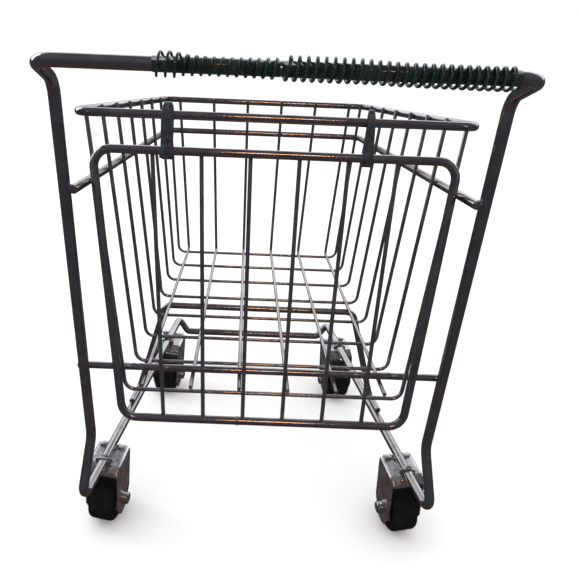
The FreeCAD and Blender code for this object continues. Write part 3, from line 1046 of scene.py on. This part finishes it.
def tyre_profile(half, outer, bore):
    """Half of the tyre's section, from the mould line to the bore, as (across, radius) pairs."""
    tread = outer - SEAM_HEIGHT
    points = [(0.0, outer), (SEAM_HALF * 0.6, outer - SEAM_HEIGHT * 0.3), (SEAM_HALF, tread)]
    points += [(half * 0.45, tread)]
    for step in range(9):
        turn = math.radians(90 - 11.25 * step)
        points.append((half - SHOULDER + SHOULDER * math.cos(turn),
                       tread - SHOULDER + SHOULDER * math.sin(turn)))
    ring = (tread - SHOULDER + bore) / 2
    groove = WALL_GROOVE
    points += [(half, ring + 2 * groove), (half - groove, ring + groove), (half - groove, ring - groove)]
    points += [(half, ring - 2 * groove), (half, bore + groove), (half - groove, bore)]
    return points


def turned(name, profile, hub, axle, material):
    """A closed ring of revolution about the axle."""
    side = axle.orthogonal().normalized()
    up = axle.cross(side)
    loop = profile + [(-x, r) for x, r in reversed(profile) if x > 0]
    places, faces = [], []
    for step in range(TYRE_STEPS):
        turn = math.tau * step / TYRE_STEPS
        spoke = side * math.cos(turn) + up * math.sin(turn)
        places += [hub + axle * x + spoke * r for x, r in loop]
    count = len(loop)
    for step in range(TYRE_STEPS):
        here, there = step * count, (step + 1) % TYRE_STEPS * count
        faces += [(here + i, here + (i + 1) % count, there + (i + 1) % count, there + i)
                  for i in range(count)]
    mesh = bpy.data.meshes.new(name)
    mesh.from_pydata(places, [], faces)
    return settle(name, outward(mesh), material)


for joint in frame["joints"]:
    body = joint["child"]
    if body.startswith("wheel_"):
        caster = body[len("wheel_"):]
        hub, axle = Vector(joint["pos_m"]), Vector(joint["axis"]).normalized()
        profile = tyre_profile(*wheel_size("tyre_" + caster, hub, axle))
        place_piece(turned("rubber_" + caster, profile, hub, axle, tyre_rubber),
                    body, "tyre_rubber", "tyre_" + caster)

# %% [markdown]
# ## Skins under the coils
#
# Between the turns the bar is as dark as the coil, so a thin sleeve of the same plastic is taken to lie
# under it. It is a plain tube, so it is turned like the tyres, from a profile of two points.

# %% Skins
SKIN_INNER = 3.21 * MM
SKIN_OUTER = 3.40 * MM
for side in ("left", "right"):
    low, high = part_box("grip_" + side)
    half = (high.x - low.x) / 2
    middle = Vector(((low.x + high.x) / 2, bar_y, bar_z))
    profile = [(half, SKIN_OUTER), (half, SKIN_INNER)]
    skin = turned("skin_" + side, profile, middle, Vector((1, 0, 0)), grip_vinyl)
    place_piece(skin, "cart", "grip_vinyl")

# %% [markdown]
# ## CAD nodes that stay
#
# The rivets and hubs already have the right shape, so they are only given their finishes.

# %% Finishes on CAD nodes
for caster in CASTERS:
    for node, material in (("axle_" + caster, rivet_steel), ("hub_" + caster, hub_plastic)):
        mesh = nodes[node].data
        mesh.materials.clear()
        mesh.materials.append(material)
print("CAD nodes refinished:", 2 * len(CASTERS))

# %% [markdown]
# ## Floor, light and room
#
# Polished rod shows its surroundings more than itself. Over a plain pale floor in a white tent the
# chrome would look white too. So the tent lights the floor evenly, while the rods mirror a dim room,
# slate above and brown near the ground, with a wide window ahead of the cart. The floor is kept out of
# their mirrors. One soft box overhead gives the soft shadow.

# %% Stage
FLOOR_HALF = 60.0
WINDOW_GLOW = 1.3
CEILING_GLOW = 0.05
SLATE_GLOW = 0.078
BROWN_GLOW = 0.08
TENT_GLOW = 1.2
floor_mesh = bpy.data.meshes.new("floor")
floor_mesh.from_pydata([(x, y, 0.0) for x, y in ((-1, -1), (1, -1), (1, 1), (-1, 1))], [], [(0, 1, 2, 3)])
floor_mesh.transform(Matrix.Scale(FLOOR_HALF, 4))
paper = Finish("paper_floor", Roughness=0.9, Specular_IOR_Level=0.1)
paper.feed(Base_Color=paper.blend(paper.noise(0.01, 3.0), (0.86, 0.86, 0.86), (0.90, 0.90, 0.90)))
floor = bpy.data.objects.new("floor", floor_mesh)
floor_mesh.materials.append(paper.material)
scene.collection.objects.link(floor)
floor.visible_glossy = False


def room():
    """White to the eye and to matt surfaces, a dim room with a wide window to polished ones."""
    world = bpy.data.worlds.new("room")
    world.use_nodes = True
    world.node_tree.nodes.clear()
    net = Net(world.node_tree)
    way = net.add("ShaderNodeTexCoord", out="Generated")
    ahead = net.add("ShaderNodeSeparateXYZ", None, {"Vector": way}, out="Y")
    height = net.add("ShaderNodeSeparateXYZ", None, {"Vector": way}, out="Z")

    def step(value, start, end, low, high):
        return net.add("ShaderNodeMapRange", {"interpolation_type": "SMOOTHSTEP"},
                       {"Value": value, "From Min": start, "From Max": end, "To Min": low, "To Max": high})

    pane = step(ahead, 0.15, 0.55, 0.0, WINDOW_GLOW) * step(height, 0.03, 0.14, 0.0, 1.0)
    pane = pane * step(height, 0.55, 0.90, 1.0, 0.0)
    ceiling = step(height, -0.1, 0.9, 0.0, CEILING_GLOW)
    shine = net.add("ShaderNodeBackground", None,
                    {"Color": (0.93, 0.97, 1.0, 1.0), "Strength": pane + ceiling})
    slate = net.add("ShaderNodeBackground", None,
                    {"Color": (0.80, 0.82, 1.0, 1.0), "Strength": step(height, -0.95, -0.35, 0.0, SLATE_GLOW)})
    brown = net.add("ShaderNodeBackground", None,
                    {"Color": (1.0, 0.66, 0.55, 1.0), "Strength": step(height, -0.95, -0.35, BROWN_GLOW, 0.0)})
    dim = net.add("ShaderNodeAddShader", None, {0: slate, 1: brown})
    inside = net.add("ShaderNodeAddShader", None, {0: shine, 1: dim})
    tent = net.add("ShaderNodeBackground", None, {"Color": (1.0, 1.0, 1.0, 1.0), "Strength": TENT_GLOW})
    mirrored = net.add("ShaderNodeLightPath", out="Is Glossy Ray")
    both = net.add("ShaderNodeMixShader", None, {0: mirrored, 1: tent, 2: inside})
    leave = net.tree.nodes.new("ShaderNodeOutputWorld")
    net.tree.links.new(both.socket, leave.inputs["Surface"])
    return world


def lamp(name, place, target, size, power, colour, mirrored=True):
    light = bpy.data.lights.new(name, "AREA")
    light.shape = "RECTANGLE"
    light.size, light.size_y = size
    light.energy = power
    light.color = colour
    stand = bpy.data.objects.new(name, light)
    scene.collection.objects.link(stand)
    stand.location = place
    stand.rotation_euler = (Vector(target) - Vector(place)).to_track_quat("-Z", "Y").to_euler()
    stand.visible_glossy = mirrored
    return stand


scene.world = room()
cart_low, cart_high = cad_box
cart_middle = (cart_low + cart_high) / 2
lamp("soft_box", (-0.3, 0.2, 1.6), cart_middle, (1.4, 1.4), 5.0, (1.0, 0.99, 0.97), mirrored=False)
lamp("warm_lamp", (0.10, -1.3, 1.15), cart_middle, (0.28, 0.10), 1.3, (1.0, 0.52, 0.25))
lamp("side_strip", (-1.1, 0.3, 0.75), cart_middle, (0.25, 0.9), 3.0, (0.86, 0.93, 1.0))
scene.view_settings.view_transform = "Standard"

# %% [markdown]
# ## Camera
#
# The eye is close behind the handle and a little above it, looking down into the basket, so the near
# handle looks much wider than the far wheels. Its place is measured from the main frame's own box.

# %% Camera
EYE_BACK = 0.266
EYE_UP = 0.0285
EYE_LEFT = 0.019
YAW, PITCH, ROLL = 0.0055, 0.4594, 0.0416
FRAME_SIDE = 580
FOCAL = 600
eye = bpy.data.objects.new("camera", bpy.data.cameras.new("camera"))
scene.collection.objects.link(eye)
lowest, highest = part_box("main_frame")
place = Vector((-EYE_LEFT, lowest.y - EYE_BACK, highest.z + EYE_UP))
look = Vector((math.sin(YAW) * math.cos(PITCH), math.cos(YAW) * math.cos(PITCH), -math.sin(PITCH)))
level = Vector((math.cos(YAW), -math.sin(YAW), 0.0))
upright = level.cross(look)
rolled_x = level * math.cos(ROLL) + upright * math.sin(ROLL)
rolled_y = upright * math.cos(ROLL) - level * math.sin(ROLL)
turned_to = Matrix((rolled_x, rolled_y, -look)).transposed().to_4x4()
eye.matrix_world = Matrix.Translation(place) @ turned_to
eye.data.sensor_width = 36.0
eye.data.lens = FOCAL / FRAME_SIDE * eye.data.sensor_width
eye.data.shift_x = 0.0885
eye.data.shift_y = -0.0152
eye.data.clip_start = 0.01
scene.camera = eye
print("camera at", [round(value, 3) for value in place])

# %% [markdown]
# ## Sizes and finish
#
# The CAD model's box, measured before anything was made, is printed in millimetres.

# %% Finish
print("CAD box", [[round(v / MM, 2) for v in corner] for corner in cad_box])
